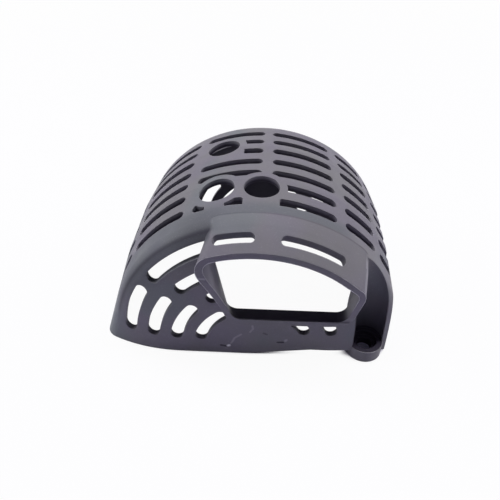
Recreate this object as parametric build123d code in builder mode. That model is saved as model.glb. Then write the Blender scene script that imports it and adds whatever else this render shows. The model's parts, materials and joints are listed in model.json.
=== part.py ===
"""Muffler cover of a small engine: one moulded half drum with a vent grille and an exhaust hood."""
import os
from math import asin, cos, degrees, hypot, radians, sin, tan

from build123d import *

# Drum: lies along Y, open below, its axis a little above the base (millimetres)
wall = 2.2
axis_height = 2.0
drum_radius = 53.7
front_reach = 41.8
back_reach = 40.0
crest_length = 24.0
end_draft = 4.8
end_flat_radius = 25.0
shoulder_radius = 55.0
corner_radius = 6.0
side_flat_x = 47.4
leg_angle = -70.0
vault_sweep = 270.0

# Vault grille: slot columns between two angles from the crest, positive to the right
slot_width = 3.7
row_pitch = 8.0
row_count = 7
vault_columns = ((-83.0, -58.6), (-54.4, -28.4), (-24.2, 0.8), (4.6, 29.6), (33.8, 49.8), (53.7, 64.0))

# Access holes in the vault: place, width of the plain pad in front, and of the plain pad to both sides
hole_diameter = 12.2
hole_rim = 2.6
pad_length = 12.0
side_pad_length = 8.0
access_holes = ((1.0, -16.5, 12.0, 8.0), (-14.3, -16.2, 6.6, 8.0), (-14.5, 13.6, 0.0, 15.0))

# End walls: ring slots about a point just above the drum's axis, parted by slanting ribs
ring_width = 4.4
ring_radii = (20.0, 28.4, 36.8, 45.3)
ring_centre_rise = 0.6
ring_foot = 4.2
ring_foot_right = 8.4
rib_width = 3.2
rib_tilt = 13.9
rib_offset = 16.6
middle_rib_width = 6.0

# Exhaust outlet in the front wall, with its sleeve and hood; its left cheek flares towards the lip
outlet_left = -9.5
outlet_left_lean = 10.0
outlet_left_at_lip = -6.5
lip_left_lean = 25.0
outlet_right = 30.9
outlet_right_lean = 12.0
outlet_sill = 15.7
outlet_corner = 4.0
sleeve_end_y = -36.6
hood_lip_y = -44.0
hood_back_y = -30.6
hood_lip_radius = 46.8
hood_bend_radius = 50.75
hood_back_radius = 52.8
lip_foot = 34.0
lip_rake = 8.0

# Slots in the hood's roof: start angle, end angle
hood_slot_width = 3.1
hood_slot_y = -39.3
hood_slots = ((-15.4, -0.8), (10.0, 34.0))

# Screw channel and boss at the front right corner
screw_x = 39.6
screw_y = -37.2
channel_radius = 5.9
boss_diameter = 12.6
boss_height = 5.0
screw_hole_diameter = 5.5
counterbore_diameter = 8.6
counterbore_depth = 2.0

# Relief along the foot of the front wall, beside the screw
relief_height = 3.4
relief_start_x = -4.0
relief_full_x = 20.0

# Reach of cutting bodies past the walls they cut
reach = 10.0

quarter_turn = 90
half_turn = 180
drum_axis = Axis((0, 0, axis_height), (0, 1, 0))


def upright(y, rise=0):
    """Plane across the drum at y, seen from the front, centred a little above the drum's axis."""
    return Plane((0, y, axis_height + rise), x_dir=(1, 0, 0), z_dir=(0, -1, 0))


def tangent(start, end, radius, y):
    """Plane that touches a cylinder about the drum's axis midway between two angles."""
    middle = radians(start + end) / 2
    out = Vector(sin(middle), 0, cos(middle))
    return Plane(Vector(0, y, axis_height) + out * radius, x_dir=(cos(middle), 0, -sin(middle)), z_dir=out)


def chord(start, end, radius):
    return 2 * radius * sin(radians(end - start) / 2)


def drum(inset):
    """Drum with drafted vault, domed ends, a straight left leg and a flat right side, drawn in by inset."""
    draft = tan(radians(end_draft))
    peak = drum_radius + draft * crest_length / 2 - inset / cos(radians(end_draft))
    angle = radians(leg_angle)
    across = Plane((0, 0, axis_height), x_dir=(sin(angle), 0, cos(angle)), z_dir=(-cos(angle), 0, sin(angle)))
    with BuildPart() as body:
        with BuildSketch(across) as section:
            with BuildLine():
                Polyline((0, -peak / draft), (peak, 0), (0, peak / draft), close=True)
            make_face()
            for end_y in (shoulder_radius - front_reach, back_reach - shoulder_radius):
                with Locations((0, end_y)):
                    SlotCenterToCenter(2 * end_flat_radius, 2 * (shoulder_radius - inset), mode=Mode.INTERSECT)
            Rectangle(2 * (drum_radius - inset), 2 * (front_reach + back_reach), mode=Mode.INTERSECT)
            rim = section.vertices().sort_by_distance((0, 0, axis_height))[-2:]
            fillet(rim, corner_radius - inset)
        revolve(axis=drum_axis, revolution_arc=vault_sweep)
        extrude(section.sketch, amount=drum_radius)
        split(bisect_by=Plane.YZ.offset(side_flat_x - inset), keep=Keep.BOTTOM)
    return body.part


def outlet(grow, front_y):
    """Exhaust outlet as a solid plug under the hood's roof, grown by an even margin."""
    low = outlet_sill + outlet_corner
    high = drum_radius + reach
    right_lean = tan(radians(outlet_right_lean))
    right = outlet_right - outlet_corner * (hypot(1, right_lean) - right_lean)
    with BuildPart() as plug:
        for y in (front_y, sleeve_end_y, hood_back_y):
            flare = max(0, (sleeve_end_y - y) / (sleeve_end_y - hood_lip_y))
            climb = max(0, (y - sleeve_end_y) / (hood_back_y - sleeve_end_y))
            left_lean = tan(radians(outlet_left_lean)) * (1 - flare) + tan(radians(lip_left_lean)) * flare
            left = outlet_left + (outlet_left_at_lip - outlet_left) * flare
            left += outlet_corner * (hypot(1, left_lean) - left_lean)
            drop = (hood_bend_radius - hood_lip_radius) * flare
            rise = (hood_back_radius - hood_bend_radius) * climb
            with BuildSketch(upright(y)) as outline:
                Circle(hood_bend_radius - drop + rise - wall - outlet_corner)
                with BuildLine():
                    Polyline(
                        (left, low),
                        (right, low),
                        (right + (high - low) * right_lean, high),
                        (left - (high - low) * left_lean, high),
                        close=True,
                    )
                make_face(mode=Mode.INTERSECT)
                offset(outline.sketch_local, amount=outlet_corner + grow, mode=Mode.REPLACE)
        loft(ruled=True)
    return plug.part


def foot_angle(radius, height):
    return degrees(asin((height + ring_width / 2) / radius))


def rib_angle(radius, side):
    """Angle above the horizontal at which a ring slot's round end starts, below or above the slanting rib."""
    return rib_tilt + degrees(asin((rib_offset + side * (rib_width + ring_width) / 2) / radius))


def middle_angle(radius):
    return quarter_turn - degrees(asin((middle_rib_width + ring_width) / 2 / radius))


def ring_slot(radius, start, end, left):
    """Slot along a ring between two angles above the horizontal, on the left or the right."""
    if left:
        start, end = half_turn - end, half_turn - start
    SlotArc(Edge.make_circle(radius, start_angle=start, end_angle=end), ring_width)


outer = drum(0)
hollow = drum(wall)

with BuildPart() as vault_cuts:
    for start, end in vault_columns:
        with BuildSketch(tangent(start, end, drum_radius, 0)):
            with GridLocations(row_pitch, row_pitch, 1, row_count):
                SlotOverall(chord(start, end, drum_radius), slot_width)
        extrude(amount=reach / 2, both=True)
    with BuildSketch(Plane.XY.offset(axis_height)):
        for x, y, front_pad, side_pad in access_holes:
            with Locations((x, y)):
                Circle(hole_diameter / 2 + hole_rim)
                Rectangle(2 * side_pad_length, side_pad)
            if front_pad:
                with Locations((x, y - pad_length / 2)):
                    Rectangle(front_pad, pad_length)
    extrude(amount=drum_radius + reach, mode=Mode.SUBTRACT)
    with BuildSketch(Plane.XY.offset(axis_height)):
        with Locations(*[(x, y) for x, y, front_pad, side_pad in access_holes]):
            Circle(hole_diameter / 2)
    extrude(amount=drum_radius + reach)

with BuildPart() as front_cuts:
    with BuildSketch(upright(-front_reach, ring_centre_rise)):
        for radius in ring_radii:
            ring_slot(radius, foot_angle(radius, ring_foot), rib_angle(radius, -1), True)
            if radius < outlet_right:
                ring_slot(radius, foot_angle(radius, ring_foot_right), rib_angle(radius, -1), False)
            if radius > ring_radii[0]:
                ring_slot(radius, rib_angle(radius, 1), middle_angle(radius), True)
    extrude(amount=reach, both=True)
    add(outlet(wall, hood_lip_y), mode=Mode.SUBTRACT)

with BuildPart() as rear_cuts:
    with BuildSketch(upright(back_reach, ring_centre_rise)):
        for radius in ring_radii:
            ring_slot(radius, foot_angle(radius, ring_foot), rib_angle(radius, -1), True)
            if radius + ring_width < side_flat_x:
                ring_slot(radius, foot_angle(radius, ring_foot), rib_angle(radius, -1), False)
            if radius > ring_radii[0]:
                for left in (True, False):
                    ring_slot(radius, rib_angle(radius, 1), middle_angle(radius), left)
    extrude(amount=reach, both=True)

with BuildPart() as hood_cuts:
    for start, end in hood_slots:
        with BuildSketch(tangent(start, end, hood_back_radius, hood_slot_y)):
            SlotOverall(chord(start, end, hood_back_radius), hood_slot_width)
        extrude(amount=reach, both=True)

with BuildPart() as hood:
    add(outlet(wall, hood_lip_y))
    rake = radians(lip_rake)
    lip_plane = Plane((0, hood_lip_y, axis_height + lip_foot), x_dir=(1, 0, 0), z_dir=(0, -cos(rake), -sin(rake)))
    split(bisect_by=lip_plane, keep=Keep.BOTTOM)

with BuildPart() as sleeve:
    add(hood.part)
    split(bisect_by=Plane.XZ.offset(-sleeve_end_y), keep=Keep.TOP)

with BuildPart() as inside:
    add(hollow)
    add(sleeve.part, mode=Mode.SUBTRACT)
    with BuildSketch(Plane.XY):
        with Locations((screw_x, screw_y)):
            Circle(channel_radius + wall)
    extrude(amount=drum_radius + reach, mode=Mode.SUBTRACT)

with BuildPart() as relief:
    with BuildSketch(upright(-front_reach)):
        with BuildLine():
            foot = -axis_height
            Polyline(
                (relief_start_x, foot),
                (screw_x, foot),
                (screw_x, foot + relief_height),
                (relief_full_x, foot + relief_height),
                close=True,
            )
        make_face()
    extrude(amount=reach, both=True)

with BuildPart() as boss:
    with BuildSketch(Plane.XY):
        with Locations((screw_x, screw_y)):
            Circle(boss_diameter / 2)
    extrude(amount=boss_height)
    with Locations((screw_x, screw_y, boss_height)):
        CounterBoreHole(screw_hole_diameter / 2, counterbore_diameter / 2, counterbore_depth)

with BuildPart() as muffler_cover:
    add(outer)
    with BuildSketch(Plane.XY):
        with Locations((screw_x, screw_y)):
            Circle(channel_radius)
    extrude(amount=drum_radius + reach, mode=Mode.SUBTRACT)
    add(hood.part)
    add(inside.part, mode=Mode.SUBTRACT)
    add(vault_cuts.part, mode=Mode.SUBTRACT)
    add(rear_cuts.part, mode=Mode.SUBTRACT)
    add(relief.part, mode=Mode.SUBTRACT)
    add(outlet(0, hood_lip_y - wall), mode=Mode.SUBTRACT)
    add(boss.part)
    add(front_cuts.part, mode=Mode.SUBTRACT)
    add(hood_cuts.part, mode=Mode.SUBTRACT)
    split(bisect_by=Plane.XY, keep=Keep.TOP)

os.makedirs("parts", exist_ok=True)
muffler_cover.part.label = "muffler_cover"
export_step(muffler_cover.part, "parts/muffler_cover.step")
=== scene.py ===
"""Looks of a small engine's muffler cover: moulded charcoal plastic on a pale studio floor."""
import json
import math
from functools import reduce

import bpy
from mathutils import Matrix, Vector


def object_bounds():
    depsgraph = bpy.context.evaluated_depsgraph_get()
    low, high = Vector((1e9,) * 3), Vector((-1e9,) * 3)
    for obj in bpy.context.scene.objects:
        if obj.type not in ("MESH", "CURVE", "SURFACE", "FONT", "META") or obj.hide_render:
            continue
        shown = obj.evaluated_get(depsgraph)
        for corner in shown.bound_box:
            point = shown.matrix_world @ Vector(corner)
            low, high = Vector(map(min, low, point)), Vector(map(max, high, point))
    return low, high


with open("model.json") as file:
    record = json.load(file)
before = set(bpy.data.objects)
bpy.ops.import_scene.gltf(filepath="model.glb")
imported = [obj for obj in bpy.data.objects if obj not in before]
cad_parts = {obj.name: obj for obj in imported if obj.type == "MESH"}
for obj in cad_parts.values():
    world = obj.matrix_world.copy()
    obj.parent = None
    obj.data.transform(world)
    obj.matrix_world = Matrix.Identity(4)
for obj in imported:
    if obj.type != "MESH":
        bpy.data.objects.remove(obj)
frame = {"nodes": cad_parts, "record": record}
cad_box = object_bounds()
cover = frame["nodes"]["muffler_cover"]

# Lengths are in metres and angles in degrees, and tones are linear red, green, blue and alpha.
# A ramp is a pair (start, end), along which a mask climbs smoothly from 0 to 1 unless a range is given.
# A zone is a row of ramps along x, y or z, and its mask is their product.

# Camera at the photograph's view, with its focal length in pixels of the photograph's frame
camera_place = (0.0047, -0.1597, 0.1436)
camera_pitch = 38.9
camera_yaw = 3.08
focal_pixels = 500
frame_pixels = 500
sensor_width = 36
near_clip = 0.005

# Lamps: name, place, width, depth and power in watts
lamps = (
    ("top_softbox", (0.02, 0.17, 0.75), 1.2, 0.15, 5.9),
    ("left_softbox", (-0.7, -0.02, 0.38), 0.5, 0.5, 2.5),
    ("right_softbox", (0.7, 0.02, 0.38), 0.5, 0.5, 2.0),
)
lamp_tone = (1, 0.99, 0.985)
lamp_target = (0, 0, 0.03)

# Surroundings, white to look at and dim as light
white = (1, 1, 1, 1)
sky_tone = (0.82, 0.78, 1, 1)
sky_strength = 0.06

# Floor, less white near the object to show its shadow, and not white in nooks and under the screw hole
floor_width = 6
floor_tone = (0.68, 0.66, 0.84, 1)
floor_away_ramp = (0.2, 0.8)
floor_white_range = (0.95, 1)
nook_reach = 0.006
nook_samples = 16
nook_ramp = (0.40, 0.55)
screw_nook_ramp = (0.0035, 0.0045)

# Tones of the plastic
violet = (0.170, 0.159, 0.198, 1)
neutral = (0.172, 0.167, 0.186, 1)
greenish = (0.146, 0.165, 0.184, 1)
pale = (0.330, 0.322, 0.360, 1)
# Tone of painted shade: in the shoulder band, along the hood's step, inside and in the screw channel
shade_tone = (0.010, 0.006, 0.021, 1)
nick_dark = (0.012, 0.008, 0.022, 1)
# Pale tone of burrs, and of the painted highlights at the two ends of the hood's lip
burr_and_highlight_pale = (0.850, 0.840, 0.880, 1)
specular_level = 0.15

# Mottling from noise: scale, detail, ramp along the noise, and range
mottle_roughness = 0.5
clouds = (55, 3, (0.35, 0.65), (0, 1))
tints = (38, 2, (0.54, 0.70), (0, 0.6))
specks = (1900, 2, (0.55, 0.8), (0, 0.2))
# Patches of the pale edges, part wear and part painted highlight
wear_and_highlight_patches = (260, 3, (0.38, 0.62), (0.25, 0.75))
roughness_patches = (140, 3, (0.3, 0.7), (0.46, 0.6))

# Grain and orange peel: scale, detail and roughness of their noise, and their shares of the height
grain_noise = (2600, 3, 0.6)
grain_share = 0.6
peel_noise = (420, 2, 0.5)
peel_share = 0.4
relief_height = 0.00012
relief_strength = 0.22

# Edges, found where a rounded surface turns away from the face: ramp along the cosine of that turn
edge_radius = 0.0004
edge_samples = 6
edge_ramp = (0.995, 0.86)

# Bend across the hood's roof, which the real moulding takes in one soft curve
bend_y = -0.0366
bend_reach = 0.0055
bend_slope = 0.19
bend_zone = (("x", -0.0165, -0.0125),)

# Step where the hood's roof ends on the vault, with a faint line of painted shade in its crease
step_y = -0.0306
step_ramp = (0.0008, 0.0003)
step_zone = (("z", 0.030, 0.034), ("x", -0.0150, -0.0140), ("x", 0.0370, 0.0360))
step_shade_share = 0.3

# Hood's lip, where pale edges of wear and painted highlight are stronger, with painted highlights palest
# at its two ends
lip_wear_and_highlight_ramp = (-0.0425, -0.0435)
lip_wear_and_highlight_range = (1, 2.4)
lip_zone = (("y", -0.0422, -0.0428),)
lip_middle_x = 0.0095
lip_end_ramp = (0.0165, 0.0185)
lip_end_highlight_range = (0, 0.8)

# Painted highlight down the rounded corner at the hood's right, between roof and cheek: ramps along the
# sideways part of its facing
corner_roof_ramp = (0.74, 0.82)
corner_roof_range = (0, 0.6)
corner_cheek_ramp = (0.97, 0.91)
corner_highlight_zone = (("y", -0.0320, -0.0350), ("z", 0.026, 0.028), ("x", 0.0395, 0.0385))

# Left side, which is greenish
left_ramp = (-0.042, -0.054)
left_range = (0, 0.8)

# Painted shade: a dull band along the front shoulder, off the hood's roof, darkest in the corner beside
# the hood
shade_band_zone = (("y", -0.0225, -0.0275), ("y", -0.0400, -0.0370), ("x", 0.034, 0.026), ("z", 0.012, 0.030))
roof_zone = (("x", -0.0150, -0.0138), ("y", step_y + 0.0003, step_y - 0.0001))
shade_band_tint = 0.6
shade_place = (-0.0165, -0.0350, 0.0450)
shade_ramp = (0.014, 0.003)
shade_range = (0.2, 0.45)

# Inside, darker with painted shade: the vault, drafted towards both ends, the rear wall and the outlet's
# sill
axis_height = 0.002
inner_radius = 0.0514
draft_start = 0.012
draft_slope = 0.084
vault_depth_ramp = (-0.0019, -0.0006)
vault_end_ramp = (0.0365, 0.0345)
channel_zone = (("x", 0.030, 0.033), ("y", -0.0285, -0.0305))
rear_zone = (("y", 0.0386, 0.0380), ("y", 0.0330, 0.0345))
rear_radius_ramp = (0.0365, 0.0350)
sill_zone = (
    ("z", 0.0205, 0.0180),
    ("z", 0.0170, 0.0175),
    ("y", -0.0417, -0.0413),
    ("y", -0.0345, -0.0360),
    ("x", -0.0105, -0.0090),
    ("x", 0.0335, 0.0315),
)
inside_shade_share = 0.92

# Screw channel, about the mount's axis: painted shade, darker towards its foot, and darkest on the boss
screw = next(mount for mount in frame["record"]["mounts"] if mount["name"] == "mount_screw")
screw_axis = (screw["pos_m"][0], screw["pos_m"][1], 0)
channel_radius = 0.0059
channel_ramp = (channel_radius + 0.0004, channel_radius + 0.0001)
channel_height_ramp = (0.036, 0.008)
channel_shade_range = (0, 0.7)
boss_height = 0.005
boss_height_ramp = (boss_height + 0.0025, boss_height + 0.0005)
boss_shade_range = (0, 0.9)

# Mould marks on the front wall, as runs of points (x, z)
wall_y = -0.0418
wall_zone = (("y", wall_y + 0.0008, wall_y + 0.0002),)
nicks = (
    ((-0.0121, 0.0039), (-0.0103, 0.0036)),
    ((0.0082, 0.0066), (0.0101, 0.0067)),
)
faint_nicks = (((0.0031, 0.0111), (0.0043, 0.0105)),)
scratches = (
    ((-0.0084, 0.0052), (-0.0071, 0.0081), (-0.0048, 0.0100)),
    ((-0.0008, 0.0146), (-0.0006, 0.0131), (-0.0016, 0.0115)),
    ((-0.0180, 0.0377), (-0.0159, 0.0376)),
)
burrs = (((-0.0095, 0.0038), (-0.0091, 0.0040)),)
faint_burrs = (((0.0109, 0.0076), (0.0112, 0.0080)),)

# The same marks in the order in which they are laid on: runs, width, tone and strength
marks = (
    (nicks, 0.0009, nick_dark, 0.98),
    (faint_nicks, 0.0008, nick_dark, 0.5),
    (scratches, 0.0008, pale, 0.75),
    (burrs, 0.0011, burr_and_highlight_pale, 1.0),
    (faint_burrs, 0.0010, pale, 1.0),
)
mark_core = 0.25
ragged_noise = (900, 2, 0.5)
ragged_share = 0.4

# Factors that flatten a point onto the base and onto the front wall
onto_base = (1, 1, 0)
onto_wall = (1, 0, 1)


def feed(tree, socket, value):
    """Link a socket to another one, or set it to a plain value."""
    if isinstance(value, bpy.types.NodeSocket):
        tree.links.new(value, socket)
    else:
        socket.default_value = value


def node(tree, kind, inputs=None, **settings):
    """A new shader node with its settings and inputs."""
    made = tree.nodes.new(kind)
    for key, value in settings.items():
        setattr(made, key, value)
    for key, value in (inputs or {}).items():
        feed(tree, made.inputs[key], value)
    return made


def math_node(tree, operation, *values, clamp=False):
    inputs = dict(enumerate(values))
    return node(tree, "ShaderNodeMath", inputs, operation=operation, use_clamp=clamp).outputs[0]


def product(tree, *values):
    return reduce(lambda a, b: math_node(tree, "MULTIPLY", a, b), values)


def largest(tree, *values):
    return reduce(lambda a, b: math_node(tree, "MAXIMUM", a, b), values)


def apart(tree, value, middle):
    return math_node(tree, "ABSOLUTE", math_node(tree, "SUBTRACT", value, middle))


def vector_node(tree, operation, *values):
    inputs = dict(enumerate(values))
    return node(tree, "ShaderNodeVectorMath", inputs, operation=operation)


def shifted(tree, place, origin):
    return vector_node(tree, "SUBTRACT", place, origin).outputs["Vector"]


def flattened(tree, place, factors):
    return vector_node(tree, "MULTIPLY", place, factors).outputs["Vector"]


def distance(tree, place, other):
    return vector_node(tree, "DISTANCE", place, other).outputs["Value"]


def length(tree, vector):
    return vector_node(tree, "LENGTH", vector).outputs["Value"]


def dot(tree, a, b):
    return vector_node(tree, "DOT_PRODUCT", a, b).outputs["Value"]


def from_screw(tree, place):
    """Distance of a point from the screw's axis."""
    return length(tree, flattened(tree, shifted(tree, place, screw_axis), onto_base))


def noise(tree, place, scale, detail, roughness):
    inputs = {"Vector": place, "Scale": scale, "Detail": detail, "Roughness": roughness}
    return node(tree, "ShaderNodeTexNoise", inputs).outputs["Fac"]


def climb(tree, value, ramp, reach=(0, 1)):
    """A value's smooth climb along a ramp, from one end of a range to the other."""
    inputs = {
        "Value": value,
        "From Min": ramp[0],
        "From Max": ramp[1],
        "To Min": reach[0],
        "To Max": reach[1],
    }
    return node(tree, "ShaderNodeMapRange", inputs, interpolation_type="SMOOTHSTEP").outputs["Result"]


def mottle(tree, place, scale, detail, ramp, reach):
    return climb(tree, noise(tree, place, scale, detail, mottle_roughness), ramp, reach)


def mix(tree, share, under, over):
    """One tone laid over another by its share."""
    made = node(tree, "ShaderNodeMix", data_type="RGBA")
    tones = [socket for socket in made.inputs if socket.type == "RGBA"]
    for socket, value in zip((made.inputs[0], *tones), (share, under, over)):
        feed(tree, socket, value)
    return next(socket for socket in made.outputs if socket.type == "RGBA")


def empty_material(name):
    material = bpy.data.materials.new(name)
    material.use_nodes = True
    material.node_tree.nodes.clear()
    return material


class Surface:
    """The plastic's shader tree, and what its masks are made from at each point of the cover."""

    def __init__(self, tree):
        self.tree = tree
        self.place = node(tree, "ShaderNodeTexCoord").outputs["Object"]
        parts = node(tree, "ShaderNodeSeparateXYZ", {0: self.place}).outputs
        self.x = parts["X"]
        self.y = parts["Y"]
        self.z = parts["Z"]
        self.facing = node(tree, "ShaderNodeNewGeometry").outputs["Normal"]
        bevel = node(tree, "ShaderNodeBevel", {"Radius": edge_radius}, samples=edge_samples)
        self.rounded = bevel.outputs["Normal"]
        self.edge = climb(tree, dot(tree, self.rounded, self.facing), edge_ramp)

    def within(self, zone):
        """Mask of a zone."""
        along = {"x": self.x, "y": self.y, "z": self.z}
        return product(self.tree, *(climb(self.tree, along[axis], ramp) for axis, *ramp in zone))


def clouded_tone(surface):
    """Violet to neutral grey, greenish in places, with painted shade in a duller band along the front
    shoulder, and pale specks.
    """
    tree = surface.tree
    place = surface.place
    shade_band = math_node(tree, "SUBTRACT", surface.within(shade_band_zone), surface.within(roof_zone), clamp=True)
    left = climb(tree, surface.x, left_ramp, left_range)
    tint = largest(tree, mottle(tree, place, *tints), left, product(tree, shade_band, shade_band_tint))
    # Painted shade over the shoulder band, deepest in the corner beside the hood
    painted_shade = product(tree, shade_band, climb(tree, distance(tree, place, shade_place), shade_ramp, shade_range))
    tone = mix(tree, mottle(tree, place, *clouds), violet, neutral)
    tone = mix(tree, tint, tone, greenish)
    tone = mix(tree, painted_shade, tone, shade_tone)
    return mix(tree, mottle(tree, place, *specks), tone, pale)


def worn_and_highlit_edges(surface, tone):
    """Pale edges of wear and painted highlight, stronger on the hood's lip, and a faint line of painted
    shade instead along the hood's step.
    """
    tree = surface.tree
    near_step = climb(tree, apart(tree, surface.y, step_y), step_ramp)
    step_shade = product(tree, near_step, surface.within(step_zone))
    # Pale edges, part wear and part painted highlight
    wear_and_highlight = product(tree, surface.edge, mottle(tree, surface.place, *wear_and_highlight_patches))
    on_lip = climb(tree, surface.y, lip_wear_and_highlight_ramp, lip_wear_and_highlight_range)
    wear_and_highlight = math_node(tree, "MULTIPLY", wear_and_highlight, on_lip, clamp=True)
    wear_and_highlight = math_node(tree, "SUBTRACT", wear_and_highlight, step_shade, clamp=True)
    tone = mix(tree, wear_and_highlight, tone, pale)
    # Painted shade: a faint dark line along the hood's step
    return mix(tree, product(tree, step_shade, step_shade_share), tone, shade_tone)


def lip_end_highlights(surface, tone):
    """Painted highlights, the palest edges, at the two ends of the hood's lip."""
    tree = surface.tree
    at_end = climb(tree, apart(tree, surface.x, lip_middle_x), lip_end_ramp, lip_end_highlight_range)
    return mix(tree, product(tree, surface.edge, at_end, surface.within(lip_zone)), tone, burr_and_highlight_pale)


def hood_corner_highlight(surface, tone):
    """A painted highlight: a pale line down the rounded corner at the hood's right."""
    tree = surface.tree
    sideways = node(tree, "ShaderNodeSeparateXYZ", {0: surface.facing}).outputs["X"]
    off_roof = climb(tree, sideways, corner_roof_ramp, corner_roof_range)
    off_cheek = climb(tree, sideways, corner_cheek_ramp)
    return mix(tree, product(tree, off_roof, off_cheek, surface.within(corner_highlight_zone)), tone, pale)


def under_vault(surface, radius):
    """Mask of painted shade on the vault's inside and its slots' walls, without the screw channel."""
    tree = surface.tree
    from_middle = math_node(tree, "ABSOLUTE", surface.y)
    drafted = largest(tree, math_node(tree, "SUBTRACT", from_middle, draft_start), 0)
    draft = product(tree, drafted, draft_slope)
    depth = math_node(tree, "SUBTRACT", inner_radius, math_node(tree, "ADD", radius, draft))
    vault = product(tree, climb(tree, depth, vault_depth_ramp), climb(tree, from_middle, vault_end_ramp))
    return math_node(tree, "SUBTRACT", vault, surface.within(channel_zone), clamp=True)


def screw_channel_shade(surface):
    """Mask of painted shade in the screw channel and on the top of its boss."""
    tree = surface.tree
    in_channel = climb(tree, from_screw(tree, surface.place), channel_ramp)
    low = climb(tree, surface.z, channel_height_ramp, channel_shade_range)
    on_boss = climb(tree, surface.z, boss_height_ramp, boss_shade_range)
    return product(tree, in_channel, largest(tree, low, on_boss))


def painted_inside_shade(surface, tone):
    """Painted shade on the drum's inside, the outlet's sill and the screw channel, which lie in deep
    shade.
    """
    tree = surface.tree
    rise = math_node(tree, "SUBTRACT", surface.z, axis_height)
    squares = (math_node(tree, "POWER", side, 2.0) for side in (surface.x, rise))
    radius = math_node(tree, "SQRT", math_node(tree, "ADD", *squares))
    rear_wall = product(tree, surface.within(rear_zone), climb(tree, radius, rear_radius_ramp))
    inside = largest(tree, under_vault(surface, radius), rear_wall, surface.within(sill_zone))
    inside = product(tree, inside, inside_shade_share)
    return mix(tree, largest(tree, inside, screw_channel_shade(surface)), tone, shade_tone)


def from_line(tree, flat, start, end):
    """Distance of a point on the front wall from a straight line between two others."""
    first = Vector((start[0], 0, start[1]))
    line = Vector((end[0], 0, end[1])) - first
    from_first = shifted(tree, flat, first)
    share = math_node(tree, "ADD", dot(tree, from_first, line / line.length_squared), 0, clamp=True)
    foot = node(tree, "ShaderNodeVectorMath", {0: line, "Scale": share}, operation="SCALE")
    return distance(tree, from_first, foot.outputs["Vector"])


def near_marks(tree, flat, runs, width):
    """Mask of marks with a ragged edge: 1 on their lines, 0 at their width."""
    nearest = width
    for run in runs:
        for start, end in zip(run, run[1:]):
            nearest = math_node(tree, "MINIMUM", nearest, from_line(tree, flat, start, end))
    ragged = product(tree, noise(tree, flat, *ragged_noise), ragged_share * width)
    return climb(tree, math_node(tree, "ADD", nearest, ragged), (mark_core * width, width), (1, 0))


def mould_marks(surface, tone):
    """Nicks, scratches and burrs on the front wall."""
    tree = surface.tree
    flat = flattened(tree, surface.place, onto_wall)
    on_wall = surface.within(wall_zone)
    for runs, width, mark_tone, strength in marks:
        share = product(tree, near_marks(tree, flat, runs, width), on_wall, strength)
        tone = mix(tree, share, tone, mark_tone)
    return tone


def relief(surface):
    """The facing with rounded edges, the hood's bend as one curve, orange peel and grain."""
    tree = surface.tree
    from_bend = apart(tree, surface.y, bend_y)
    near_bend = largest(tree, math_node(tree, "SUBTRACT", bend_reach, from_bend), 0)

    # A parabola that leaves the two flats at the bend's reach and lies under the line where they meet
    dip = product(tree, math_node(tree, "POWER", near_bend, 2.0), -bend_slope / (4 * bend_reach))
    dip = product(tree, dip, surface.within(bend_zone))
    inputs = {"Height": dip, "Normal": surface.rounded, "Strength": 1, "Distance": 1}
    curved = node(tree, "ShaderNodeBump", inputs).outputs["Normal"]

    grain = product(tree, noise(tree, surface.place, *grain_noise), grain_share)
    peel = product(tree, noise(tree, surface.place, *peel_noise), peel_share)
    height = math_node(tree, "ADD", grain, peel)
    inputs = {"Height": height, "Normal": curved, "Strength": relief_strength, "Distance": relief_height}
    return node(tree, "ShaderNodeBump", inputs).outputs["Normal"]


def moulded_plastic():
    """Satin charcoal plastic with a violet tint, mould grain, clouding, pale edges of wear and painted
    highlight, and painted shade inside.
    """
    material = empty_material("moulded_charcoal")
    tree = material.node_tree
    surface = Surface(tree)
    tone = clouded_tone(surface)
    for layer in (worn_and_highlit_edges, lip_end_highlights, hood_corner_highlight, painted_inside_shade, mould_marks):
        tone = layer(surface, tone)
    inputs = {
        "Base Color": tone,
        "Roughness": mottle(tree, surface.place, *roughness_patches),
        "Normal": relief(surface),
        "Specular IOR Level": specular_level,
    }
    shader = node(tree, "ShaderNodeBsdfPrincipled", inputs)
    node(tree, "ShaderNodeOutputMaterial", {"Surface": shader.outputs[0]})
    return material


def seen(tree):
    """1 for rays that show the surroundings, straight, through or mirrored, and 0 for those that light."""
    path = node(tree, "ShaderNodeLightPath").outputs
    return largest(tree, path["Is Camera Ray"], path["Is Transmission Ray"], path["Is Glossy Ray"])


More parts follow.
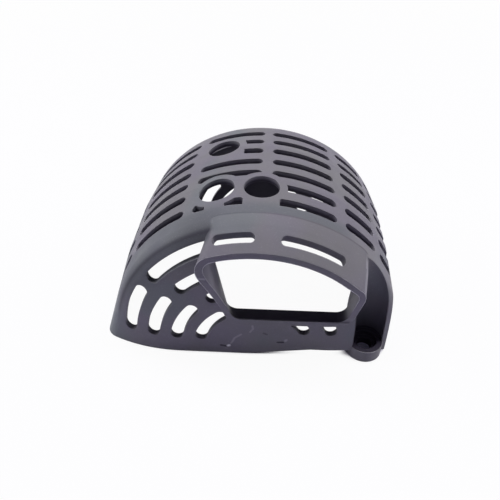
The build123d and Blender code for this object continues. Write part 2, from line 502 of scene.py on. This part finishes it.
def floor_white():
    """Pale floor that is seen as white, with the object's shadow on it."""
    material = empty_material("floor_white")
    tree = material.node_tree
    place = node(tree, "ShaderNodeNewGeometry").outputs["Position"]
    sky = node(tree, "ShaderNodeAmbientOcclusion", {"Distance": nook_reach}, samples=nook_samples)
    in_open = climb(tree, sky.outputs["AO"], nook_ramp)
    off_screw = climb(tree, from_screw(tree, place), screw_nook_ramp)
    away = climb(tree, length(tree, place), floor_away_ramp, floor_white_range)
    share = product(tree, seen(tree), in_open, off_screw, away)
    lit = node(tree, "ShaderNodeBsdfDiffuse", {"Color": floor_tone})
    glow = node(tree, "ShaderNodeEmission", {"Color": white, "Strength": 1.0})
    both = node(tree, "ShaderNodeMixShader", {0: share, 1: lit.outputs[0], 2: glow.outputs[0]})
    node(tree, "ShaderNodeOutputMaterial", {"Surface": both.outputs[0]})
    return material


def studio_floor():
    bpy.ops.mesh.primitive_plane_add(size=floor_width, location=(0, 0, cad_box[0][2]))
    floor = bpy.context.object
    floor.name = "studio_floor"
    floor.data.materials.append(floor_white())


def studio_sky():
    world = bpy.data.worlds.new("studio")
    world.use_nodes = True
    tree = world.node_tree
    tree.nodes.clear()
    dim = node(tree, "ShaderNodeBackground", {"Color": sky_tone, "Strength": sky_strength})
    bright = node(tree, "ShaderNodeBackground", {"Color": white, "Strength": 1.0})
    both = node(tree, "ShaderNodeMixShader", {0: seen(tree), 1: dim.outputs[0], 2: bright.outputs[0]})
    node(tree, "ShaderNodeOutputWorld", {"Surface": both.outputs[0]})
    bpy.context.scene.world = world


def softbox(name, place, width, depth, power):
    light = bpy.data.lights.new(name, "AREA")
    light.shape = "ELLIPSE"
    light.size = width
    light.size_y = depth
    light.energy = power
    light.color = lamp_tone
    made = bpy.data.objects.new(name, light)
    made.location = place
    made.rotation_euler = (Vector(lamp_target) - Vector(place)).to_track_quat("-Z", "Y").to_euler()
    bpy.context.scene.collection.objects.link(made)


def photo_camera():
    data = bpy.data.cameras.new("photo_camera")
    data.sensor_width = sensor_width
    data.lens = sensor_width * focal_pixels / frame_pixels
    data.clip_start = near_clip
    made = bpy.data.objects.new("photo_camera", data)
    made.location = camera_place
    made.rotation_euler = (math.radians(90 - camera_pitch), 0, math.radians(camera_yaw))
    bpy.context.scene.collection.objects.link(made)
    bpy.context.scene.camera = made


plastic = moulded_plastic()
for slot in cover.material_slots:
    slot.material = plastic
studio_floor()
studio_sky()
for lamp in lamps:
    softbox(*lamp)
photo_camera()
bpy.context.scene.view_settings.view_transform = "Standard"
